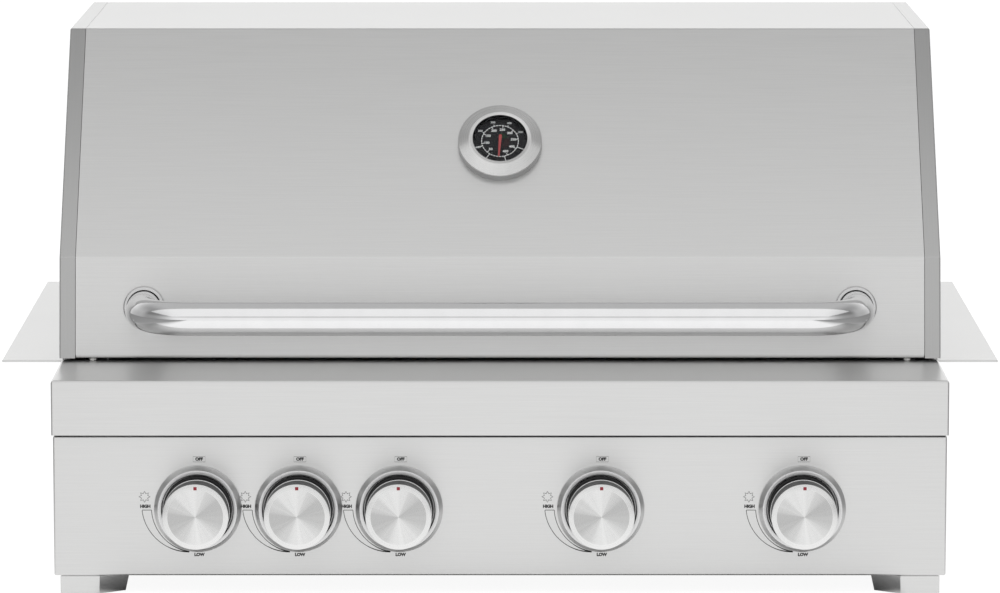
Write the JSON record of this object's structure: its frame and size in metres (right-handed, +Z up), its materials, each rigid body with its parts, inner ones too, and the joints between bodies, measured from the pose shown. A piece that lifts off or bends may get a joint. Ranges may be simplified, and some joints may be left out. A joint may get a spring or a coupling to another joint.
{
  "type": "built-in gas grill",
  "caption": "Built-in gas grill: hinged hood with tube handle and dial thermometer, knobbed control panel, firebox with burners and grates, flange that rests on a counter.",
  "frame": {"origin": "middle of the whole grill seen from above, on the surface under its feet", "axes": "+X to the cook's right along the widest direction, +Y away from the cook, +Z up"},
  "size_m": [0.9092, 0.692, 0.483],
  "materials": {
    "brushed_steel": "brushed stainless steel",
    "polished_steel": "polished stainless steel",
    "plain_steel": "plain stainless sheet",
    "brass": "machined brass",
    "dial_black": "printed matt black",
    "pointer_red": "satin red",
    "clear_glass": "clear"
  },
  "bodies": {
    "root": {"front_ledge": "brushed_steel", "control_panel": "brushed_steel", "side_panel_left": "plain_steel", "side_panel_right": "plain_steel", "rear_panel": "plain_steel", "counter_flange": "brushed_steel", "foot_front_left": "brushed_steel", "foot_front_right": "brushed_steel", "foot_rear_left": "brushed_steel", "foot_rear_right": "brushed_steel", "firebox": "plain_steel", "cooking_grate_left": "polished_steel", "cooking_grate_middle": "polished_steel", "cooking_grate_right": "polished_steel", "warming_rack": "polished_steel", "flame_tamer_1": "plain_steel", "flame_tamer_2": "plain_steel", "flame_tamer_3": "plain_steel", "flame_tamer_4": "plain_steel", "burner_1": "plain_steel", "burner_2": "plain_steel", "burner_3": "plain_steel", "burner_4": "plain_steel", "rear_burner": "plain_steel", "gas_manifold": "plain_steel", "valve_body_1": "brass", "valve_body_2": "brass", "valve_body_3": "brass", "valve_body_4": "brass", "valve_body_5": "brass", "knob_bezel_1": "polished_steel", "knob_bezel_2": "polished_steel", "knob_bezel_3": "polished_steel", "knob_bezel_4": "polished_steel", "knob_bezel_5": "polished_steel", "hinge_pin_left": "polished_steel", "hinge_pin_right": "polished_steel"},
    "hood": {"hood_shell": "brushed_steel", "hood_liner": "plain_steel", "hood_end_cap_left": "brushed_steel", "hood_end_cap_right": "brushed_steel", "hood_handle": "polished_steel", "handle_rosette_left": "polished_steel", "handle_rosette_right": "polished_steel", "thermometer_case": "brushed_steel", "thermometer_dial": "dial_black", "thermometer_lens": "clear_glass"},
    "pointer": {"thermometer_pointer": "pointer_red"},
    "tray": {"grease_tray": "plain_steel"},
    "stem_1": {"valve_stem_1": "brass"},
    "stem_2": {"valve_stem_2": "brass"},
    "stem_3": {"valve_stem_3": "brass"},
    "stem_4": {"valve_stem_4": "brass"},
    "stem_5": {"valve_stem_5": "brass"},
    "knob_1": {"knob_1": "polished_steel"},
    "knob_2": {"knob_2": "polished_steel"},
    "knob_3": {"knob_3": "polished_steel"},
    "knob_4": {"knob_4": "polished_steel"},
    "knob_5": {"knob_5": "polished_steel"}
  },
  "joints": [
    {"name": "hood_open", "type": "hinge", "parent": "root", "child": "hood", "pos_m": [0, 0.233, 0.247], "axis": [-1, 0, 0], "range_deg": [0, 90]},
    {"name": "pointer_turn", "type": "hinge", "parent": "hood", "child": "pointer", "pos_m": [0, -0.10559, 0.38282], "axis": [0, 0.7754, -0.6315], "range_deg": [0, 320], "stiffness_Nm_per_rad": 0.0002},
    {"name": "tray_slide", "type": "slide", "parent": "root", "child": "tray", "axis": [0, 1, 0], "range_m": [0, 0.38]},
    {"name": "knob_1_turn", "type": "hinge", "parent": "root", "child": "stem_1", "pos_m": [-0.27, -0.301, 0.0785], "axis": [0, -1, 0], "range_deg": [0, 180]},
    {"name": "knob_2_turn", "type": "hinge", "parent": "root", "child": "stem_2", "pos_m": [-0.18, -0.301, 0.0785], "axis": [0, -1, 0], "range_deg": [0, 180]},
    {"name": "knob_3_turn", "type": "hinge", "parent": "root", "child": "stem_3", "pos_m": [-0.09, -0.301, 0.0785], "axis": [0, -1, 0], "range_deg": [0, 180]},
    {"name": "knob_4_turn", "type": "hinge", "parent": "root", "child": "stem_4", "pos_m": [0.09, -0.301, 0.0785], "axis": [0, -1, 0], "range_deg": [0, 180]},
    {"name": "knob_5_turn", "type": "hinge", "parent": "root", "child": "stem_5", "pos_m": [0.27, -0.301, 0.0785], "axis": [0, -1, 0], "range_deg": [0, 180]},
    {"name": "knob_1_push", "type": "slide", "parent": "stem_1", "child": "knob_1", "axis": [0, 1, 0], "range_m": [0, 0.003], "stiffness_N_per_m": 800},
    {"name": "knob_2_push", "type": "slide", "parent": "stem_2", "child": "knob_2", "axis": [0, 1, 0], "range_m": [0, 0.003], "stiffness_N_per_m": 800},
    {"name": "knob_3_push", "type": "slide", "parent": "stem_3", "child": "knob_3", "axis": [0, 1, 0], "range_m": [0, 0.003], "stiffness_N_per_m": 800},
    {"name": "knob_4_push", "type": "slide", "parent": "stem_4", "child": "knob_4", "axis": [0, 1, 0], "range_m": [0, 0.003], "stiffness_N_per_m": 800},
    {"name": "knob_5_push", "type": "slide", "parent": "stem_5", "child": "knob_5", "axis": [0, 1, 0], "range_m": [0, 0.003], "stiffness_N_per_m": 800}
  ]
}
